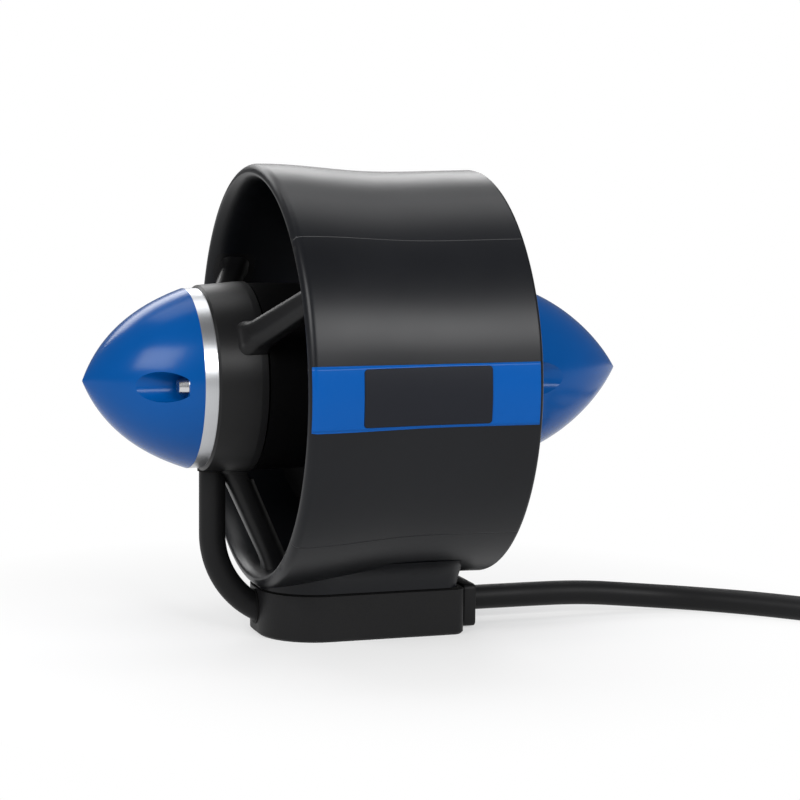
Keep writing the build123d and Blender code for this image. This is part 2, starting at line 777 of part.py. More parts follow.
phase_wires = group([
    sweep_tube(
        [
            (lead_x, y, -hub_bore_radius), (lead_x, y, wire_height),
            (stack_front_x - coil_overhang, y, wire_height),
        ],
        [wire_bend], wire_radius,
    )
    for y in (-wire_spacing, 0, wire_spacing)
])
for y in (-wire_spacing, 0, wire_spacing):
    wire_hole_radius = wire_radius + screw_clearance
    stator_frame -= rod(hub_rear_x - hub_web_thickness, hub_rear_x, wire_hole_radius, y, wire_height)

# Bearings
ball_circle_radius = (bearing_outer_radius + shaft_radius) / 2
groove_radius = ball_radius + ball_clearance


def race(x_start, outer, inner):
    """One ring of a ball bearing with its ball groove."""
    x_end = x_start + bearing_width
    corners = [(x_start, inner), (x_start, outer), (x_end, outer), (x_end, inner)]
    blank = make_face(Polyline(*corners, close=True))
    groove = Location((x_start + bearing_width / 2, ball_circle_radius)) * Circle(groove_radius)
    return revolve(blank - groove, Axis.X)


bearing_places = (front_bearing_x, rear_bearing_x)
outer_race_bore = bearing_outer_radius - bearing_race_wall
inner_race_radius = shaft_radius + bearing_inner_wall
bearing_outer_races = group([race(x, bearing_outer_radius, outer_race_bore) for x in bearing_places])
bearing_inner_races = group([race(x, inner_race_radius, shaft_radius) for x in bearing_places])


def ball_set(x_start):
    middle = x_start + bearing_width / 2
    places = circle_points(ball_count, ball_circle_radius)
    return [Location((middle, y, z)) * Sphere(ball_radius) for y, z in places]


def cage(x_start):
    middle = x_start + bearing_width / 2
    cage_outer = ball_circle_radius + cage_wall / 2
    cage_inner = ball_circle_radius - cage_wall / 2
    ring_blank = tube(middle - cage_width / 2, middle + cage_width / 2, cage_outer, cage_inner)
    for index in range(ball_count):
        pocket_face = Location((middle, 0, 0)) * Circle(ball_radius + ball_clearance)
        pocket = extrude(pocket_face, bearing_outer_radius)
        ring_blank -= pocket.rotate(Axis.X, 360.0 * index / ball_count - 90.0)
    return ring_blank


bearing_balls = group([ball for x in bearing_places for ball in ball_set(x)])
ball_cages = group([cage(x) for x in bearing_places])

# Rotor
seal_front_x = rear_bearing_x + bearing_width
seal_bore_radius = bell_nose_radius + seal_clearance
shaft_seal = tube(seal_front_x + seal_clearance, tube_rear_x, bearing_outer_radius, seal_bore_radius)
shaft_front_x = front_bearing_x - shaft_front_reach
boss_rear_x = bell_rear_x + bell_boss_length
shaft_rear_x = boss_rear_x + nut_height + shaft_rear_reach
shaft = tube(shaft_front_x, shaft_rear_x, shaft_radius)
clip_x = front_bearing_x - clip_thickness
shaft_clip = tube(clip_x, front_bearing_x, clip_radius, shaft_radius - 0.5)
shaft -= tube(clip_x, front_bearing_x, shaft_radius + 1, shaft_radius - 0.5)
nut_plane = Plane(origin=(boss_rear_x, 0, 0), z_dir=(1, 0, 0))
nut_face = RegularPolygon(nut_width / 2, 6, major_radius=False) - Circle(shaft_radius)
shaft_nut = extrude(nut_plane * nut_face, nut_height)

rotor_bell = tube(bell_front_x, bell_rear_x, can_outer_radius)
rotor_bell += tube(seal_front_x, bell_front_x, bell_nose_radius)
rotor_bell += tube(bell_rear_x, boss_rear_x, bell_boss_radius)
rotor_bell -= tube(seal_front_x, boss_rear_x, shaft_radius)
bell_step_x = bell_front_x + bell_thickness / 2
rotor_bell -= tube(bell_front_x, bell_step_x, can_outer_radius + 1, can_inner_radius)
rotor_can = tube(can_front_x, bell_step_x, can_outer_radius, can_inner_radius)
magnet_angle = 360.0 / magnet_count * magnet_fill
magnet = turned(
    [
        (stack_front_x, magnet_inner_radius), (stack_front_x, can_inner_radius),
        (stack_rear_x, can_inner_radius), (stack_rear_x, magnet_inner_radius),
    ],
    magnet_angle,
)
rotor_magnets = group(around(magnet, magnet_count))

# Propeller
sleeve_rear_inner = ring_radius - prop_hub_wall


def sleeve_radius(x):
    """Outside radius of the propeller hub, tapering from the fixed hub down to the tail ring."""
    share = (x - prop_front_x) / prop_hub_length
    return prop_hub_front_radius + (ring_radius - prop_hub_front_radius) * share


sleeve = turned([
    (prop_front_x, prop_hub_front_radius - prop_hub_wall), (prop_front_x, prop_hub_front_radius),
    (prop_rear_x, ring_radius), (prop_rear_x, sleeve_rear_inner),
])
web_rear_x = prop_web_x + prop_web_thickness
web = tube(prop_web_x, web_rear_x, sleeve_radius(web_rear_x) - prop_hub_wall / 2, bell_boss_radius + prop_fit)
propeller = sleeve + web


def blade_section(radius):
    """A cambered lens section at a radius, pitched to the helix, for a blade along +Z."""
    share = (radius - prop_hub_front_radius) / (throat_radius - prop_hub_front_radius)
    bulge = math.sin(math.pi * min(max(share, 0.0), 1.0))
    chord = blade_root_chord + (blade_tip_chord - blade_root_chord) * share
    chord += (blade_mid_chord - (blade_root_chord + blade_tip_chord) / 2) * bulge
    thickness = blade_root_thickness + (blade_tip_thickness - blade_root_thickness) * share
    pitch_angle = math.atan2(blade_pitch, 2 * math.pi * radius)
    along = (math.sin(pitch_angle), math.cos(pitch_angle), 0)
    camber = blade_camber * chord
    half = chord / 2
    edge = blade_edge
    top = ThreePointArc((-half, edge), (0, thickness / 2 + camber + edge), (half, edge))
    trail = Line((half, edge), (half, -edge))
    under = ThreePointArc((half, -edge), (0, -thickness / 2 + camber), (-half, -edge))
    lead = Line((-half, -edge), (-half, edge))
    face = make_face(Wire([top, trail, under, lead]))
    plane = Plane(origin=(blade_center_x, 0, radius), x_dir=along, z_dir=(0, 0, 1))
    return (plane * face).rotate(Axis.X, -blade_skew * share * share)


blade_root_radius = prop_hub_front_radius - prop_hub_wall
blade_steps = 5
blade_span = lip_center_radius - blade_root_radius
blade_radii = [blade_root_radius + blade_span * step / blade_steps for step in range(blade_steps + 1)]
blade = loft([blade_section(radius) for radius in blade_radii])
blade_tip_radius = throat_radius - blade_tip_gap
blade &= tube(duct_front_x, duct_rear_x, blade_tip_radius, blade_root_radius + 1.0)
for index in range(blade_count):
    propeller += blade.rotate(Axis.X, blade_first_angle + index * 360.0 / blade_count)

prop_screw_seat = web_rear_x
prop_screw_length = prop_web_thickness + bell_thickness - 1
prop_screw_places = circle_points(cone_screw_count, prop_screw_circle_radius, web_screw_angle)
for y, z in prop_screw_places:
    propeller -= rod(prop_web_x, web_rear_x, screw_radius + screw_clearance, y, z)
    rotor_bell -= rod(bell_front_x, bell_rear_x, screw_radius, y, z)
prop_screws = screws_along_axis(prop_screw_places, prop_screw_seat, 1, prop_screw_length)

# Tail ring and tail cone
tail_plate = tube(prop_rear_x, tail_base_x, ring_radius)
lug_front_x = prop_rear_x - tail_lug_length
sleeve_fill = turned([
    (prop_front_x, 0), (prop_front_x, prop_hub_front_radius - prop_hub_wall / 2),
    (prop_rear_x, ring_radius - prop_hub_wall / 2), (prop_rear_x, 0),
])
tail_screw_places = circle_points(cone_screw_count, cone_screw_circle_radius)
for y, z in tail_screw_places:
    propeller += rod(lug_front_x, prop_rear_x, tail_lug_radius, y, z) & sleeve_fill
tail_screw_length = counterbore_floor + ring_thickness + screw_engagement
for y, z in tail_screw_places:
    propeller -= rod(prop_rear_x - screw_engagement - screw_clearance, prop_rear_x, screw_radius, y, z)
    tail_plate -= rod(prop_rear_x, tail_base_x, screw_radius + screw_clearance, y, z)
tail_seat = tail_base_x + counterbore_floor
tail_cone = screw_cone(cone_screw_circle_radius, counterbore_radius, counterbore_floor).rotate(Axis.Z, 180)
tail_cone = Location((tail_base_x + cone_length, 0, 0)) * tail_cone
tail_screws = screws_along_axis(tail_screw_places, tail_seat, 1, tail_screw_length)

# Gland and power cable
box_rear_wall = rod(shoe_rear_x - shoe_wall - 1, shoe_rear_x + 1, gland_thread_radius, 0, cable_height)
control_box -= box_rear_wall
cable_gland = rod(shoe_rear_x - shoe_wall, shoe_rear_x, gland_thread_radius, 0, cable_height)
cable_gland += rod(shoe_rear_x, gland_x, gland_neck_radius, 0, cable_height)
cap_plane = Plane(origin=(gland_x, 0, cable_height), x_dir=(0, 1, 0), z_dir=(1, 0, 0))
cap_outline = RectangleRounded(gland_cap_width, gland_cap_height, gland_cap_corner)
gland_cap = extrude(cap_plane * cap_outline, gland_cap_length)
gland_cap = chamfer(gland_cap.faces().sort_by(Axis.X)[-1].edges(), gland_edge)
cap_rear_x = gland_x + gland_cap_length
gland_cap -= rod(cap_rear_x - cable_seat, cap_rear_x, cable_radius + cable_fit, 0, cable_height)

wire_level = board_top + wire_radius
board_front_x = board_center_x - board_length / 2
board_rear_x = board_center_x + board_length / 2
lead_cores = [
    sweep_tube(
        [lead_end + Vector(0, y, 0), Vector(board_front_x - 2 * wire_bend, y, wire_level),
         Vector(board_front_x + wire_bend, y, wire_level)],
        [wire_bend], wire_radius,
    )
    for y in (-wire_spacing, 0, wire_spacing)
]
supply_cores = [
    sweep_tube(
        [(shoe_rear_x - shoe_wall, y, cable_height), (board_rear_x + wire_bend, y, wire_level),
         (board_rear_x - wire_bend, y, wire_level)],
        [wire_bend], wire_radius,
    )
    for y in (-wire_spacing / 2, wire_spacing / 2)
]
lead_wires = [core - motor_lead for core in lead_cores]
supply_wires = [core - cable_gland for core in supply_cores]
board_wires = group(lead_wires + supply_wires)

cable_floor = shoe_bottom + cable_radius
cable_points = [
    (cap_rear_x - cable_seat, 0.0, cable_height),
    (83.0, 0.0, cable_height),
    (114.0, 0.6, cable_height - 0.5),
    (143.0, -1.0, -115.4),
    (170.0, -9.5, cable_floor),
    (196.0, -31.0, cable_floor),
    (223.0, -61.0, cable_floor),
    (258.0, -98.0, cable_floor),
]
cable_bends = cord_radii(cable_points)
print("power cable bends", [round(value, 1) for value in cable_bends])
coil_mean_radius = 66.0
coil_band_width = 14.0
coil_center = (306.0, -53.0)
coil_turns = 2
coil_height = coil_turns * 2 * cable_radius
power_cable = sweep_tube(cable_points, cable_bends, cable_radius)
coil_disc = Location((*coil_center, shoe_bottom)) * Circle(coil_mean_radius + coil_band_width / 2)
power_cable -= extrude(coil_disc, coil_height)
coil_ring = coil_disc - Location((*coil_center, shoe_bottom)) * Circle(coil_mean_radius - coil_band_width / 2)
cable_coil = extrude(coil_ring, coil_height)
cable_coil = fillet(cable_coil.edges(), coil_band_width * 0.3)

# Loose end of the cable with its waterproof connector
tail_turn = math.radians(20.0)
tail_heading = Vector(-math.sin(tail_turn), math.cos(tail_turn), 0)
coil_exit = Vector(
    coil_center[0] + coil_mean_radius * math.cos(tail_turn),
    coil_center[1] + coil_mean_radius * math.sin(tail_turn),
    shoe_bottom + coil_height - cable_radius,
)
plug_height = shoe_bottom + plug_nut_radius
tail_points = [
    coil_exit,
    coil_exit + tail_heading * 42.0 + Vector(0, 0, -1.2),
    Vector(340.5, 46.0, plug_height + 2.0),
    Vector(336.5, 80.0, plug_height + 0.5),
    Vector(338.5, 112.0, plug_height),
]
tail_bends = cord_radii(tail_points)
print("cable end bends", [round(value, 1) for value in tail_bends])
cable_tail = sweep_tube(tail_points, tail_bends, cable_radius)
cable_tail -= extrude(coil_disc, coil_height)
plug_start = tail_points[-1]
plug_heading = (tail_points[-1] - tail_points[-2]).normalized()


def spun(profile):
    """A turned plug piece from (radius, height) points, laid along the end of the cable."""
    outline = make_face(Polyline(*profile, close=True)).rotate(Axis.X, 90)
    return placed(revolve(outline, Axis.Z), plug_start, plug_heading)


plug_front = plug_boot_length + plug_body_length
rib_places = [plug_boot_length * share for share in (0.25, 0.45, 0.65)]
connector_boot = spun([
    (0, 0), (cable_radius + boot_flare, 0), (plug_body_radius, plug_boot_length),
    (plug_body_radius, plug_front), (0, plug_front),
])
for height in rib_places:
    floor = cable_radius + boot_floor_gap
    groove = [
        (floor, height), (plug_nut_radius, height),
        (plug_nut_radius, height + boot_groove_width), (floor, height + boot_groove_width),
    ]
    connector_boot -= spun(groove)
plug_face_end = plug_front + plug_face_length
connector_insert = spun([
    (0, plug_front), (plug_face_radius, plug_front), (plug_face_radius, plug_face_end), (0, plug_face_end),
])
plug_plane = Plane(origin=plug_start + plug_heading * plug_face_end, z_dir=plug_heading)
pin_faces = [
    Location((x, y)) * Circle(plug_pin_radius) for x, y in circle_points(plug_pin_count, plug_pin_circle)
]
connector_pins = group([extrude(plug_plane * face, plug_pin_length) for face in pin_faces])
nut_start = plug_front - plug_nut_overlap
nut_end = nut_start + plug_nut_length
nut_bore_radius = plug_body_radius + plug_nut_gap
connector_nut = spun([
    (nut_bore_radius, nut_start), (plug_nut_radius - plug_nut_edge, nut_start),
    (plug_nut_radius, nut_start + plug_nut_edge), (plug_nut_radius, nut_end), (nut_bore_radius, nut_end),
])

for name, shape in (
    ("duct", duct), ("side_band", side_band), ("name_plate", name_plate), ("stator_frame", stator_frame),
    ("lead_grommet", lead_grommet), ("motor_mount", motor_mount), ("mount_oring", mount_oring),
    ("bearing_cap", bearing_cap), ("mount_screws", mount_screws), ("nose_cone", nose_cone),
    ("nose_screws", nose_screws), ("stator_core", stator_core), ("stator_windings", stator_windings),
    ("phase_wires", phase_wires), ("bearing_outer_races", bearing_outer_races), ("shaft_seal", shaft_seal),
    ("motor_lead", motor_lead), ("entry_grommet", entry_grommet), ("control_box", control_box),
    ("box_gasket", box_gasket), ("box_screws", box_screws), ("mount_inserts", mount_inserts),
    ("controller_board", controller_board), ("power_transistors", power_transistors),
    ("filter_capacitors", filter_capacitors), ("cable_gland", cable_gland), ("gland_cap", gland_cap),
    ("power_cable", power_cable), ("cable_coil", cable_coil), ("cable_tail", cable_tail),
    ("connector_boot", connector_boot), ("connector_insert", connector_insert),
    ("connector_pins", connector_pins),
    ("connector_nut", connector_nut), ("board_wires", board_wires),
    ("ball_cages", ball_cages), ("bearing_balls", bearing_balls), ("shaft", shaft),
    ("bearing_inner_races", bearing_inner_races), ("shaft_clip", shaft_clip), ("shaft_nut", shaft_nut),
    ("rotor_bell", rotor_bell), ("rotor_can", rotor_can), ("rotor_magnets", rotor_magnets),
    ("propeller", propeller), ("prop_screws", prop_screws), ("tail_plate", tail_plate),
    ("tail_cone", tail_cone), ("tail_screws", tail_screws),
):
    write(name, shape)
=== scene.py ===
import bmesh
import bpy
import math
from mathutils import Matrix, Vector


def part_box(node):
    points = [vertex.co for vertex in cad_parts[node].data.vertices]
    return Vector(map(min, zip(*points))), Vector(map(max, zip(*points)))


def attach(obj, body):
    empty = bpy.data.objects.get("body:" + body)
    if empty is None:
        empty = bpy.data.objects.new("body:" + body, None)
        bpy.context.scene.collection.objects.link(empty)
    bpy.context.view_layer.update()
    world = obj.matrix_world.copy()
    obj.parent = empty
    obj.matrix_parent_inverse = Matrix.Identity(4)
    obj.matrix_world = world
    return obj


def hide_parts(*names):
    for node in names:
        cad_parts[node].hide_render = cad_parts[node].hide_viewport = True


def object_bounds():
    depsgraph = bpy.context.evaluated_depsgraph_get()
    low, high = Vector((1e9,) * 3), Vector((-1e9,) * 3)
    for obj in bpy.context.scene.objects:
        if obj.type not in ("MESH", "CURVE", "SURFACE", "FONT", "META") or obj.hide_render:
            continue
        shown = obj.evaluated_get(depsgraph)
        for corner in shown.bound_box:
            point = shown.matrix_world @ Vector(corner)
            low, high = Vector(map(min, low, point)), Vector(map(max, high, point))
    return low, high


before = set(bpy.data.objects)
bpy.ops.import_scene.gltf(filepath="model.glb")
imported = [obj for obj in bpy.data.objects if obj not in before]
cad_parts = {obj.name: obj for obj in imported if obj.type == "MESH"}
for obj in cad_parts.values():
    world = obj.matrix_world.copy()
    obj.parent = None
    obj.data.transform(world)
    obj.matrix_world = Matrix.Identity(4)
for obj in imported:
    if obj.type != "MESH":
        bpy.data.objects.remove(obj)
cad_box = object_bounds()
scene = bpy.context.scene
scene.view_settings.view_transform = "Standard"

# Camera: a long lens a little over a metre away, from the front left and slightly above,
# as the product was photographed on its white table.
camera_turn = math.radians(-18.633)
camera_lift = math.radians(6.880)
camera_roll = math.radians(0.538)
right = Vector((math.cos(camera_turn), math.sin(camera_turn), 0))
back = Vector((
    math.sin(camera_turn) * math.cos(camera_lift),
    -math.cos(camera_turn) * math.cos(camera_lift),
    math.sin(camera_lift),
))
above = right.cross(-back)
across = right * math.cos(camera_roll) + above * math.sin(camera_roll)
upward = above * math.cos(camera_roll) - right * math.sin(camera_roll)
camera_data = bpy.data.cameras.new("camera")
camera_data.sensor_width = 36.0
camera_data.sensor_fit = "HORIZONTAL"
camera_data.lens = 114.0
camera = bpy.data.objects.new("camera", camera_data)
camera_place = (-0.36908, -1.14816, 0.25578)
camera_facing = Matrix((across, upward, back)).transposed().to_4x4()
camera.matrix_world = Matrix.Translation(camera_place) @ camera_facing
scene.collection.objects.link(camera)
scene.camera = camera


# Power cable: a round rubber-jacketed cable, 12 mm thick, that leaves the gland level, sinks to
# the table and curves towards the viewer. The rest is wound in a coil beside the view.
axis_height = 0.123


class Field:
    """A number that varies over a surface, with ordinary arithmetic."""

    def __init__(self, tree, socket):
        self.tree = tree
        self.socket = socket

    def combine(self, operation, *values):
        node = self.tree.nodes.new("ShaderNodeMath")
        node.operation = operation
        for index, value in enumerate(values):
            if isinstance(value, Field):
                self.tree.links.new(value.socket, node.inputs[index])
            else:
                node.inputs[index].default_value = value
        return Field(self.tree, node.outputs[0])

    def __add__(self, other):
        return self.combine("ADD", self, other)

    def __radd__(self, other):
        return self.combine("ADD", other, self)

    def __sub__(self, other):
        return self.combine("SUBTRACT", self, other)

    def __rsub__(self, other):
        return self.combine("SUBTRACT", other, self)

    def __mul__(self, other):
        return self.combine("MULTIPLY", self, other)

    def __rmul__(self, other):
        return self.combine("MULTIPLY", other, self)

    def __truediv__(self, other):
        return self.combine("DIVIDE", self, other)

    def __abs__(self):
        return self.combine("ABSOLUTE", self)

    def power(self, other):
        return self.combine("POWER", self, other)

    def clamp(self):
        held = self.combine("MAXIMUM", self, 0.0)
        return held.combine("MINIMUM", held, 1.0)


class Graph:
    """The nodes of a material or of the world."""

    def __init__(self, tree):
        self.tree = tree

    def node(self, kind, settings, sockets, output=0):
        """Adds one node; its settings go first, then the values or links of its sockets."""
        made = self.tree.nodes.new(kind)
        for label, value in settings.items():
            if label == "stops":
                ramp = made.color_ramp
                while len(ramp.elements) < len(value):
                    ramp.elements.new(1.0)
                for element, (place, shade) in zip(ramp.elements, value):
                    element.position = place
                    element.color = shade
            else:
                setattr(made, label, value)
        for label, value in sockets.items():
            if isinstance(value, Field):
                self.tree.links.new(value.socket, made.inputs[label])
            else:
                made.inputs[label].default_value = value
        return Field(self.tree, made.outputs[output])


class Finish(Graph):
    """A material that ends in one principled shader, whose plain values are given by name."""

    def __init__(self, name, **plain):
        self.material = bpy.data.materials.new(name)
        self.material.use_nodes = True
        super().__init__(self.material.node_tree)
        self.shader = self.tree.nodes["Principled BSDF"]
        for label, value in plain.items():
            self.shader.inputs[label.replace("_", " ")].default_value = value

    def place(self):
        """The point on the piece, in metres."""
        return self.node("ShaderNodeTexCoord", {}, {}, output="Object")

    def axes(self):
        """The point's three parts, with the height counted from the propeller axis."""
        point = self.place()
        along, sideways, height = [
            self.node("ShaderNodeSeparateXYZ", {}, {"Vector": point}, output=index) for index in range(3)
        ]
        return along, sideways, height - axis_height

    def noise(self, scale, detail=3.0, stretch=None):
        """Cloudy variation between 0 and 1, optionally stretched along the axes."""
        point = self.place()
        if stretch:
            point = self.node("ShaderNodeVectorMath", {"operation": "MULTIPLY"}, {0: point, 1: stretch})
        return self.node("ShaderNodeTexNoise", {}, {"Vector": point, "Scale": scale, "Detail": detail})

    def mix(self, factor, first, second):
        """Blends two colours."""
        return self.node("ShaderNodeMix", {"data_type": "RGBA"}, {0: factor, 6: first, 7: second}, output=2)

    def feed(self, label, value):
        """Drives one of the shader's own sockets."""
        self.tree.links.new(value.socket, self.shader.inputs[label])

    def relief(self, height, distance, strength=1.0):
        """Raises the surface by a height field."""
        bump = self.node("ShaderNodeBump", {}, {"Height": height, "Distance": distance, "Strength": strength})
        self.feed("Normal", bump)


def dress(finish, *nodes):
    """Gives a finish to pieces that the frame holds."""
    for name in nodes:
        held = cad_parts[name]
        held.data.materials.clear()
        held.data.materials.append(finish.material)


rubber_jacket = Finish("rubber_jacket", Base_Color=(0.007, 0.007, 0.0075, 1), Roughness=0.5, Specular_IOR_Level=0.16)
jacket_grain = rubber_jacket.noise(900.0, 4.0)
jacket_clouds = rubber_jacket.noise(35.0, 3.0)
rubber_jacket.feed("Roughness", 0.42 + jacket_clouds * 0.16)
rubber_jacket.relief(jacket_grain, 0.00006, 0.6)

cable_radius = 0.006
cable_level = 0.01095
cable_route = [
    (0.0528, 0.0, cable_level), (0.083, 0.0, cable_level), (0.114, 0.0006, 0.01045), (0.143, -0.001, 0.0076),
    (0.170, -0.0095, 0.006), (0.196, -0.031, 0.006), (0.223, -0.061, 0.006), (0.245, -0.0842, 0.006),
]
coil_middle = Vector((0.306, -0.053, 0))
coil_control_radius = 0.0683
coil_start = 238.0
coil_end = 728.0
coil_step = 24.5
coil_climb = (500.0, 575.0)
turn = coil_start
while turn <= coil_end + 0.1:
    climb = min(max((turn - coil_climb[0]) / (coil_climb[1] - coil_climb[0]), 0.0), 1.0)
    level = cable_radius + 2 * cable_radius * climb
    angle = math.radians(turn)
    cable_route.append((
        coil_middle.x + coil_control_radius * math.cos(angle),
        coil_middle.y + coil_control_radius * math.sin(angle),
        level,
    ))
    turn += coil_step
cable_route += [(0.3536, 0.0091, 0.0168), (0.3405, 0.046, 0.014), (0.3365, 0.080, 0.0125), (0.3385, 0.112, 0.012)]
cable_curve = bpy.data.curves.new("power_cable_line", "CURVE")
cable_curve.dimensions = "3D"
cable_curve.bevel_depth = cable_radius
cable_curve.bevel_resolution = 8
cable_curve.use_fill_caps = True
cable_curve.resolution_u = 10
cable_line = cable_curve.splines.new("NURBS")
cable_line.points.add(len(cable_route) - 1)
for knot, place in zip(cable_line.points, cable_route):
    knot.co = (*place, 1.0)
cable_line.order_u = 3
cable_line.use_endpoint_u = True
cable = bpy.data.objects.new("cable_line", cable_curve)
scene.collection.objects.link(cable)
cable.data.materials.append(rubber_jacket.material)
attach(cable, "housing")
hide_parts("power_cable", "cable_coil", "cable_tail")

# Table and light: a white sweep that stays white to the eye, under wide soft boxes that print long highlights on the
# duct.
# Round the shoe less of its white glow is mixed in. The lit floor's real shadow shows there, together with a painted
# shadow: a greyer disc that fades out with distance.
table_finish = Finish("table_white", Base_Color=(0.8, 0.8, 0.8, 1), Roughness=0.9, Specular_IOR_Level=0.0)


def seen_directly(finish):
    """1 for rays from the eye, from a mirror or through glass, and 0 for light that bounces."""
    path = finish.node("ShaderNodeLightPath", {}, {}, output="Is Camera Ray")
    mirrored = finish.node("ShaderNodeLightPath", {}, {}, output="Is Glossy Ray")
    through = finish.node("ShaderNodeLightPath", {}, {}, output="Is Transmission Ray")
    return (path + mirrored + through).clamp()


table_x, table_y = [
    table_finish.node("ShaderNodeSeparateXYZ", {}, {"Vector": table_finish.place()}, output=index)
    for index in range(2)
]
# Middle, reach and depth of the painted shadow disc round the shoe.
painted_shadow_middle_x = -0.01
painted_shadow_reach = 0.26
painted_shadow_depth = 0.55
reach_x = (table_x - painted_shadow_middle_x) / painted_shadow_reach
reach_y = table_y / painted_shadow_reach
away = (reach_x * reach_x + reach_y * reach_y).power(0.5).clamp()
glow = table_finish.node("ShaderNodeEmission", {}, {"Strength": 1.0})
sweep = table_finish.node("ShaderNodeMixShader", {}, {
    0: seen_directly(table_finish) * (1.0 - painted_shadow_depth * (1.0 - away.power(2.0))),
    1: Field(table_finish.tree, table_finish.shader.outputs[0]), 2: glow,
})
table_finish.tree.links.new(sweep.socket, table_finish.tree.nodes["Material Output"].inputs["Surface"])
table_mesh = bpy.data.meshes.new("table")
table_mesh.from_pydata([(-6, -6, 0), (6, -6, 0), (6, 6, 0), (-6, 6, 0)], [], [(0, 1, 2, 3)])
table = bpy.data.objects.new("table", table_mesh)
table.data.materials.append(table_finish.material)
scene.collection.objects.link(table)

world = bpy.data.worlds.new("studio")
world.use_nodes = True
scene.world = world
sky = world.node_tree.nodes["Background"]
sky.inputs["Color"].default_value = (1, 1, 1, 1)
sky_graph = Graph(world.node_tree)
eye_ray = sky_graph.node("ShaderNodeLightPath", {}, {}, output="Is Camera Ray")
sky_level = sky_graph.node("ShaderNodeMapRange", {}, {"Value": eye_ray, "To Min": 0.21, "To Max": 1.0})
sky_graph.tree.links.new(sky_level.socket, sky.inputs["Strength"])


def soft_box(name, place, aim, size, power):
    """A rectangular soft box that looks at a point."""
    lamp_data = bpy.data.lights.new(name, "AREA")
    lamp_data.shape = "RECTANGLE"
    lamp_data.size, lamp_data.size_y = size
    lamp_data.energy = power
    lamp = bpy.data.objects.new(name, lamp_data)
    lamp.location = place
    lamp.rotation_euler = (Vector(aim) - Vector(place)).to_track_quat("-Z", "Y").to_euler()
    scene.collection.objects.link(lamp)


soft_box("overhead_box", (0.05, 0.42, 1.2), (0, 0, 0.12), (1.3, 0.5), 5.0)
soft_box("front_box", (0.48, -1.3, 0.84), (0, 0, 0.12), (1.2, 0.42), 18.0)
soft_box("rim_box", (0.0, 1.4, 0.95), (0, 0, 0.15), (1.6, 0.5), 12.0)
soft_box("left_box", (-1.15, -0.68, 0.86), (-0.1, 0, 0.12), (0.72, 0.66), 15.0)

# Duct and pedestal: one black moulding with a satin skin, a fine parting line on the side and
# faint cloudiness where the skin has been handled.
duct_skin = Finish("duct_skin", Base_Color=(0.006, 0.006, 0.007, 1), Roughness=0.34, Specular_IOR_Level=0.22)
along, sideways, height = duct_skin.axes()
duct_angle = duct_skin.node("ShaderNodeMath", {"operation": "ARCTAN2"}, {0: height, 1: 0.0 - sideways})
parting_angle = math.radians(44.5)
parting_half_width = 0.0035
parting = 1.0 - (abs(abs(duct_angle) - parting_angle) / parting_half_width).clamp()
duct_clouds = duct_skin.noise(18.0, 4.0)
duct_grain = duct_skin.noise(1400.0, 2.0)
duct_skin.feed("Roughness", 0.27 + duct_clouds * 0.16)
duct_skin.feed("Base Color", duct_skin.mix(duct_clouds, (0.0035, 0.0038, 0.005, 1), (0.006, 0.0068, 0.009, 1)))
duct_skin.relief(duct_grain * 0.15 - parting * 3.0, 0.00008, 0.5)
dress(duct_skin, "duct")

# Side band: a blue strip let into the duct's near side, with softly broken edges.
band_blue = Finish("band_blue", Base_Color=(0.0, 0.068, 0.29, 1), Roughness=0.3, Specular_IOR_Level=0.12)
band_along, band_sideways, band_height = band_blue.axes()
band_flat_half_height = 0.0129
band_edge_width = 0.0012
band_edge = ((abs(band_height) - band_flat_half_height) / band_edge_width).clamp()
band_clouds = band_blue.noise(40.0, 3.0)
band_blue.feed("Roughness", 0.24 + band_clouds * 0.12)
band_blue.relief(1.0 - band_edge.power(2.0), 0.0006, 0.7)
dress(band_blue, "side_band")

# Name plate: a thin dark plate with rounded corners on the band, left bare.
plate_dark = Finish("plate_dark", Base_Color=(0.006, 0.007, 0.011, 1), Roughness=0.42, Specular_IOR_Level=0.2)
plate_grain = plate_dark.noise(260.0, 3.0, (1.0, 1.0, 12.0))
plate_dark.feed("Roughness", 0.36 + plate_grain * 0.14)
dress(plate_dark, "name_plate")

# Propeller: black moulding with satin blades. Its colour and gloss are set lower than the duct's as painted shade
# for the dark inside of the duct.
blade_black_and_shade = Finish("blade_black_and_shade", Base_Color=(0.003, 0.003, 0.0032, 1), Roughness=0.36, Specular_IOR_Level=0.08)
blade_clouds = blade_black_and_shade.noise(40.0, 3.0)
blade_black_and_shade.feed("Roughness", 0.3 + blade_clouds * 0.14)
dress(blade_black_and_shade, "propeller")

# Turned aluminium: the bright ring with its spigot, the tail ring and the rotor's bell, with fine
# tool marks that run round the axis.
turned_metal = Finish("turned_metal", Base_Color=(0.74, 0.75, 0.77, 1), Metallic=1.0, Roughness=0.28)
metal_along, metal_sideways, metal_height = turned_metal.axes()
metal_radius = (metal_sideways * metal_sideways + metal_height * metal_height).power(0.5)
tool_marks = turned_metal.node(
    "ShaderNodeTexNoise", {"noise_dimensions": "1D"},
    {"W": metal_along + metal_radius * 0.7, "Scale": 5200.0, "Detail": 3.0},
)
turned_metal.feed("Roughness", 0.2 + tool_marks * 0.22)
turned_metal.feed("Base Color", turned_metal.mix(tool_marks, (0.42, 0.43, 0.45, 1), (0.72, 0.73, 0.75, 1)))
turned_metal.relief(tool_marks, 0.00005, 0.5)
dress(turned_metal, "motor_mount", "tail_plate", "bearing_cap", "rotor_bell")

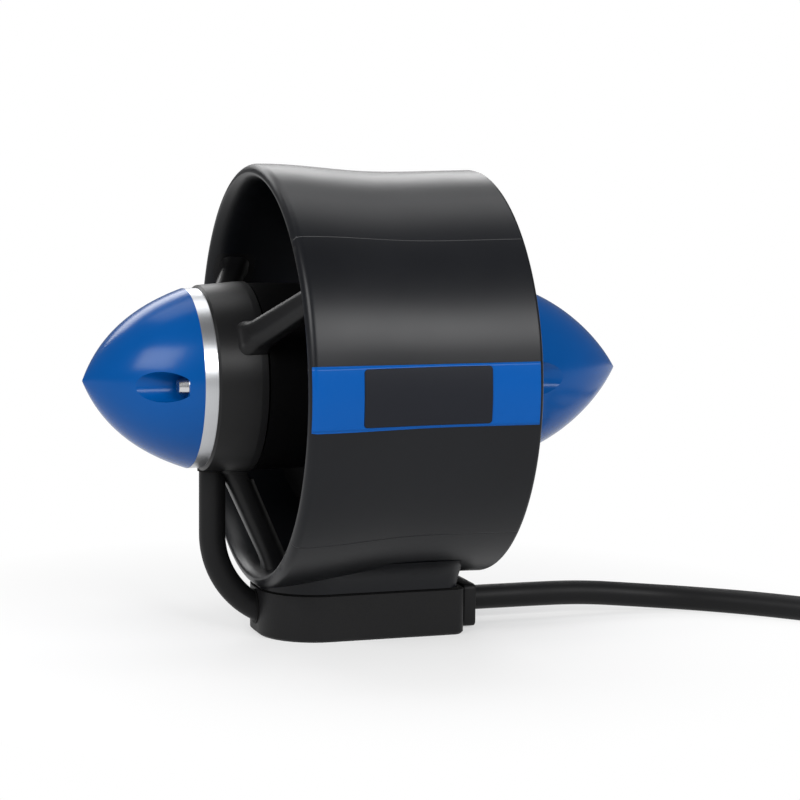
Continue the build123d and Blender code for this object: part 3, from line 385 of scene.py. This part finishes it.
# Nose cone: a hollow blue moulding with a satin gloss and a sharp tip, seated on the bright ring.
# Three deep counterbores run in along the axis to its screws.
def ogive(tip_x, base_x, radius, tip_angle, tip_pull, base_angle, base_pull):
    """Outline of a pointed cone as (x, radius) points, from its tip to its base and back to the axis."""
    way = math.copysign(1.0, base_x - tip_x)
    rise, fall = math.radians(tip_angle), math.radians(base_angle)
    knots = [
        Vector((tip_x, 0)), Vector((tip_x + way * tip_pull * math.cos(rise), tip_pull * math.sin(rise))),
        Vector((base_x - way * base_pull * math.cos(fall), radius - base_pull * math.sin(fall))),
        Vector((base_x, radius)),
    ]
    shares = [step / 56 for step in range(57)]
    curve = [
        knots[0] * (1 - share)**3 + knots[1] * 3 * share * (1 - share)**2
        + knots[2] * 3 * share**2 * (1 - share) + knots[3] * share**3
        for share in shares
    ]
    return curve + [Vector((base_x, 0))]


def finished(name, shape, finish, slot, *nodes):
    """Makes a piece from a bmesh, smooth apart from its sharp edges."""
    bmesh.ops.recalc_face_normals(shape, faces=shape.faces)
    for face in shape.faces:
        face.smooth = True
    for edge in shape.edges:
        edge.smooth = edge.calc_face_angle(0.0) < math.radians(32)
    mesh = bpy.data.meshes.new(name)
    shape.to_mesh(mesh)
    shape.free()
    piece = bpy.data.objects.new(name, mesh)
    mesh.materials.append(finish.material)
    scene.collection.objects.link(piece)
    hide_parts(*nodes)
    return piece


def lathe(outline):
    """A solid turned about the propeller axis."""
    shape = bmesh.new()
    corners = [shape.verts.new((point.x, 0, axis_height + point.y)) for point in outline]
    for first, second in zip(corners, corners[1:]):
        shape.edges.new((first, second))
    bmesh.ops.spin(
        shape, geom=shape.verts[:] + shape.edges[:], cent=(0, 0, axis_height), axis=(1, 0, 0),
        angle=math.radians(360), steps=144, use_merge=True,
    )
    bmesh.ops.remove_doubles(shape, verts=shape.verts, dist=0.000001)
    bmesh.ops.recalc_face_normals(shape, faces=shape.faces)
    return shape


def bored(shape, radius, circle_radius, start_x, end_x, first_angle, count):
    """Cuts round bores along the axis, evenly spaced, into a turned solid."""
    solid_mesh = bpy.data.meshes.new("solid")
    shape.to_mesh(solid_mesh)
    shape.free()
    solid = bpy.data.objects.new("solid", solid_mesh)
    scene.collection.objects.link(solid)
    bores = bmesh.new()
    for index in range(count):
        angle = math.radians(first_angle + index * 360 / count)
        middle = Vector((
            (start_x + end_x) / 2, circle_radius * math.cos(angle), axis_height + circle_radius * math.sin(angle),
        ))
        bmesh.ops.create_cone(
            bores, cap_ends=True, segments=64, radius1=radius, radius2=radius, depth=abs(end_x - start_x),
            matrix=Matrix.Translation(middle) @ Matrix.Rotation(math.radians(90), 4, "Y"),
        )
    bore_mesh = bpy.data.meshes.new("bores")
    bores.to_mesh(bore_mesh)
    bores.free()
    cutter = bpy.data.objects.new("bores", bore_mesh)
    scene.collection.objects.link(cutter)
    cut = solid.modifiers.new("cut", "BOOLEAN")
    cut.object = cutter
    cut.solver = "EXACT"
    bpy.context.view_layer.update()
    done = bpy.data.meshes.new_from_object(solid.evaluated_get(bpy.context.evaluated_depsgraph_get()))
    bpy.data.objects.remove(solid)
    bpy.data.objects.remove(cutter)
    result = bmesh.new()
    result.from_mesh(done)
    return result


cone_blue = Finish("cone_blue", Base_Color=(0.0, 0.07, 0.28, 1), Roughness=0.22, Specular_IOR_Level=0.16)
cone_clouds = cone_blue.noise(28.0, 4.0)
cone_grain = cone_blue.noise(1500.0, 2.0)
cone_blue.feed("Roughness", 0.17 + cone_clouds * 0.1)
cone_blue.feed("Base Color", cone_blue.mix(cone_clouds, (0.0, 0.056, 0.23, 1), (0.0, 0.068, 0.27, 1)))
cone_blue.relief(cone_grain, 0.00004, 0.5)
ring_front_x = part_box("motor_mount")[0][0]
nose_tip_x = cad_box[0][0]
cone_radius = 0.0421
nose_outline = ogive(nose_tip_x, ring_front_x, cone_radius, 67.0, 0.0225, 19.0, 0.0250)
nose_screw_circle = 0.0334
nose_bore_radius = 0.00695
nose_bore_floor = 0.0067
nose_solid = bored(
    lathe(nose_outline), nose_bore_radius, nose_screw_circle, nose_tip_x, ring_front_x - nose_bore_floor, 180.0, 3,
)
nose_piece = finished("nose_cone_skin", nose_solid, cone_blue, "blue_cone", "nose_cone")
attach(nose_piece, "housing")

# Tail cone: the same blue moulding, longer, fixed to the propeller and turning with it. Its base
# has a round scallop at each third.
tail_base_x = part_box("tail_plate")[0][0] + 0.0001
tail_tip_x = 0.1294
tail_skirt_radius = 0.0425
scallop_radius = 0.010
scallop_depth = 0.0061
tail_outline = ogive(tail_tip_x, tail_base_x, tail_skirt_radius, 56.0, 0.0252, 13.0, 0.0242)
scallop_circle = tail_skirt_radius - scallop_depth + scallop_radius
tail_solid = bored(
    lathe(tail_outline), scallop_radius, scallop_circle, tail_base_x - 0.001, tail_tip_x, 180.0, 3,
)
tail_piece = finished("tail_cone_skin", tail_solid, cone_blue, "blue_cone", "tail_cone", "tail_screws", "tail_plate")
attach(tail_piece, "rotor")

# Nose screws: three plain stainless heads that taper towards the front, at the floor of the
# counterbores.
stainless = Finish("stainless", Base_Color=(0.62, 0.62, 0.63, 1), Metallic=1.0, Roughness=0.24)
stainless.feed("Roughness", 0.18 + stainless.noise(220.0, 3.0) * 0.16)
screw_shape = bmesh.new()
screw_head_radius = 0.0046
screw_head_height = 0.0042
screw_turns = [math.radians(180 + index * 120) for index in range(3)]
for screw_turn in screw_turns:
    head_middle = Vector((
        ring_front_x - nose_bore_floor - screw_head_height / 2, nose_screw_circle * math.cos(screw_turn),
        axis_height + nose_screw_circle * math.sin(screw_turn),
    ))
    bmesh.ops.create_cone(
        screw_shape, cap_ends=True, segments=40, radius1=screw_head_radius * 0.72, radius2=screw_head_radius,
        depth=screw_head_height, matrix=Matrix.Translation(head_middle) @ Matrix.Rotation(math.radians(90), 4, "Y"),
    )
screw_piece = finished("nose_screw_heads", screw_shape, stainless, "stainless", "nose_screws")
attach(screw_piece, "housing")

# Fixed hub with its three struts: one black moulding, slightly rougher than the duct. Each strut
# sweeps back to the duct, with a collar at its root and a foot let flush into the bell mouth.
frame_skin = Finish("frame_skin", Base_Color=(0.005, 0.005, 0.0055, 1), Roughness=0.4, Specular_IOR_Level=0.25)
frame_clouds = frame_skin.noise(30.0, 4.0)
frame_skin.feed("Roughness", 0.32 + frame_clouds * 0.16)
frame_skin.relief(frame_skin.noise(1200.0, 2.0), 0.00005, 0.5)
throat_x = -0.0385
throat_radius = 0.0912
mouth_radius = 0.096
mouth_length = 0.018
foot_height = 0.0018
hub_radius = 0.0435
hub_rear_x = -0.0598
strut_root_x = -0.0648
strut_sweep = 0.449
strut_corner = 0.0046
strut_sections = [
    (0.0400, 0.0168, 0.0172), (0.0444, 0.0166, 0.0170), (0.0455, 0.0154, 0.0158), (0.0465, 0.0146, 0.0148),
    (0.0482, 0.0138, 0.0140), (0.0505, 0.0134, 0.0136), (0.0860, 0.0128, 0.0120), (0.0895, 0.0134, 0.0126),
    (0.0930, 0.0156, 0.0150),
]
hub_shape = bmesh.new()
hub_shape.from_mesh(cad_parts["stator_frame"].data)
for corner in hub_shape.verts:
    side = Vector((corner.co.y, corner.co.z - axis_height))
    reach = min((throat_x - corner.co.x) / mouth_length, 1.0)
    bow = math.sqrt(1.0 - reach**2) if reach > 0 else 1.0
    drop = (mouth_radius - throat_radius) * bow
    if abs(side.length - (mouth_radius - drop - foot_height * bow)) < 0.0003:
        side = side.normalized() * (mouth_radius - drop - 0.00005)
        corner.co.y, corner.co.z = side.x, axis_height + side.y
for strut_angle in (30, 150, 270):
    outward = Vector((0, math.cos(math.radians(strut_angle)), math.sin(math.radians(strut_angle))))
    around = Vector((0, -outward.z, outward.y))
    rings = []
    for radius, chord, thickness in strut_sections:
        middle_x = strut_root_x + strut_sweep * (radius - hub_radius)
        rear_limit = hub_rear_x if radius < 0.0466 else 0.0
        ring = []
        for side_x, side_t, start in ((1, 1, 0), (-1, 1, 90), (-1, -1, 180), (1, -1, 270)):
            for step in range(7):
                angle = math.radians(start + step * 15)
                x = middle_x + side_x * (chord / 2 - strut_corner) + strut_corner * math.cos(angle)
                off = side_t * (thickness / 2 - strut_corner) + strut_corner * math.sin(angle)
                place = outward * radius + around * off
                ring.append(hub_shape.verts.new((min(x, rear_limit), place.y, axis_height + place.z)))
        rings.append(ring)
    for low, high in zip(rings, rings[1:]):
        for index in range(len(low)):
            after = (index + 1) % len(low)
            hub_shape.faces.new((low[index], low[after], high[after], high[index]))
    hub_shape.faces.new(rings[0])
    hub_shape.faces.new(rings[-1])
hub_piece = finished("hub_with_struts", hub_shape, frame_skin, "frame_black", "stator_frame")
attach(hub_piece, "housing")

# Gland: a wide flange plate at the stern of the shoe on a lower neck, with a short collar round
# the cable. All of it is black moulding.
box_skin = Finish("box_skin", Base_Color=(0.006, 0.006, 0.0065, 1), Roughness=0.48, Specular_IOR_Level=0.2)
box_grain = box_skin.noise(1100.0, 3.0)
box_skin.feed("Roughness", 0.42 + box_skin.noise(24.0, 3.0) * 0.14)
box_skin.relief(box_grain, 0.0001, 0.5)
stern_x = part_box("control_box")[1][0]
plate_front_x = stern_x + 0.0033
plate_rear_x = plate_front_x + 0.0063


def rounded_block(name, start_x, end_x, level, width, height, corner, edge, *nodes):
    """A block with a rounded-rectangle outline, drawn along X and softly broken at its edges."""
    shape = bmesh.new()
    outline = []
    for side_y, side_z, start in ((1, 1, 0), (-1, 1, 90), (-1, -1, 180), (1, -1, 270)):
        for step in range(7):
            angle = math.radians(start + step * 15)
            outline.append((
                side_y * (width / 2 - corner) + corner * math.cos(angle),
                level + side_z * (height / 2 - corner) + corner * math.sin(angle),
            ))
    face = shape.faces.new([shape.verts.new((start_x, y, z)) for y, z in outline])
    drawn = bmesh.ops.extrude_face_region(shape, geom=[face])
    moved = [item for item in drawn["geom"] if isinstance(item, bmesh.types.BMVert)]
    bmesh.ops.translate(shape, verts=moved, vec=(end_x - start_x, 0, 0))
    rims = [rim for rim in shape.edges if abs(rim.verts[0].co.x - rim.verts[1].co.x) < 0.00001]
    bmesh.ops.bevel(shape, geom=rims, offset=edge, segments=3, profile=0.5, affect="EDGES")
    piece = finished(name, shape, box_skin, "box_black", *nodes)
    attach(piece, "housing")


neck_level = cable_level + 0.002
collar_rear_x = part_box("gland_cap")[1][0]
rounded_block(
    "gland_neck", stern_x, plate_front_x, neck_level, 0.033, 0.013, 0.0025, 0.0002, "cable_gland",
)
rounded_block(
    "gland_plate", plate_front_x, plate_rear_x, cable_level, 0.039, 0.0206, 0.0025, 0.0007, "gland_cap",
)
rounded_block(
    "gland_collar", plate_rear_x, collar_rear_x, cable_level, 0.0148, 0.0148, 0.00735, 0.0006, "gland_cap",
)

# Screws, nut, clip and shaft: bright stainless steel.
dress(stainless, "nose_screws", "tail_screws", "mount_screws", "prop_screws", "box_screws")
dress(stainless, "shaft", "shaft_clip", "shaft_nut")

# Motor lead: the thicker cable from the hub down into the shoe.
dress(rubber_jacket, "motor_lead")

# Grommets, gasket, seals and the boot of the connector: soft matt rubber.
soft_rubber = Finish("soft_rubber", Base_Color=(0.005, 0.005, 0.005, 1), Roughness=0.62, Specular_IOR_Level=0.12)
soft_rubber.feed("Roughness", 0.55 + soft_rubber.noise(90.0, 3.0) * 0.16)
dress(soft_rubber, "lead_grommet", "entry_grommet", "box_gasket", "mount_oring", "shaft_seal", "connector_boot")

# Shoe: black moulded controller box with a fine grained skin.
dress(box_skin, "control_box", "cable_gland", "gland_cap")

# Inner electrical pieces: laminated steel, varnished copper, plated magnets, ground races, brass
# cages, a green board and its parts. They are closed in by the hub and the shoe.
lamination = Finish("lamination", Base_Color=(0.22, 0.22, 0.23, 1), Metallic=0.9, Roughness=0.4)
layer_lines = lamination.node(
    "ShaderNodeTexNoise", {"noise_dimensions": "1D"}, {"W": lamination.axes()[0], "Scale": 2600.0},
)
lamination.feed("Roughness", 0.32 + layer_lines * 0.2)
dress(lamination, "stator_core", "rotor_can")
copper = Finish("copper", Base_Color=(0.62, 0.24, 0.09, 1), Metallic=1.0, Roughness=0.3)
copper.feed("Roughness", 0.24 + copper.noise(400.0, 3.0) * 0.2)
dress(copper, "stator_windings")
plated = Finish("plated", Base_Color=(0.62, 0.62, 0.6, 1), Metallic=1.0, Roughness=0.22)
plated.feed("Roughness", 0.18 + plated.noise(120.0, 3.0) * 0.14)
dress(plated, "rotor_magnets", "filter_capacitors")
dress(plated, "bearing_outer_races", "bearing_inner_races", "bearing_balls")
brass = Finish("brass", Base_Color=(0.72, 0.54, 0.22, 1), Metallic=1.0, Roughness=0.28)
brass.feed("Roughness", 0.22 + brass.noise(160.0, 3.0) * 0.16)
dress(brass, "ball_cages", "mount_inserts", "connector_pins")
board_green = Finish("board_green", Base_Color=(0.015, 0.12, 0.05, 1), Roughness=0.35)
board_green.feed("Roughness", 0.3 + board_green.noise(300.0, 3.0) * 0.12)
dress(board_green, "controller_board")
epoxy = Finish("epoxy", Base_Color=(0.016, 0.016, 0.017, 1), Roughness=0.45)
epoxy.feed("Roughness", 0.4 + epoxy.noise(500.0, 3.0) * 0.12)
dress(epoxy, "power_transistors", "connector_insert")
wire_sleeve = Finish("wire_sleeve", Base_Color=(0.22, 0.015, 0.012, 1), Roughness=0.45)
wire_sleeve.feed("Roughness", 0.4 + wire_sleeve.noise(300.0, 3.0) * 0.12)
dress(wire_sleeve, "phase_wires", "board_wires")

# Coupling nut of the connector: plain bright steel.
knurl = Finish("knurl", Base_Color=(0.5, 0.5, 0.52, 1), Metallic=1.0, Roughness=0.3)
knurl.feed("Roughness", 0.25 + knurl.noise(300.0, 3.0) * 0.16)
dress(knurl, "connector_nut")
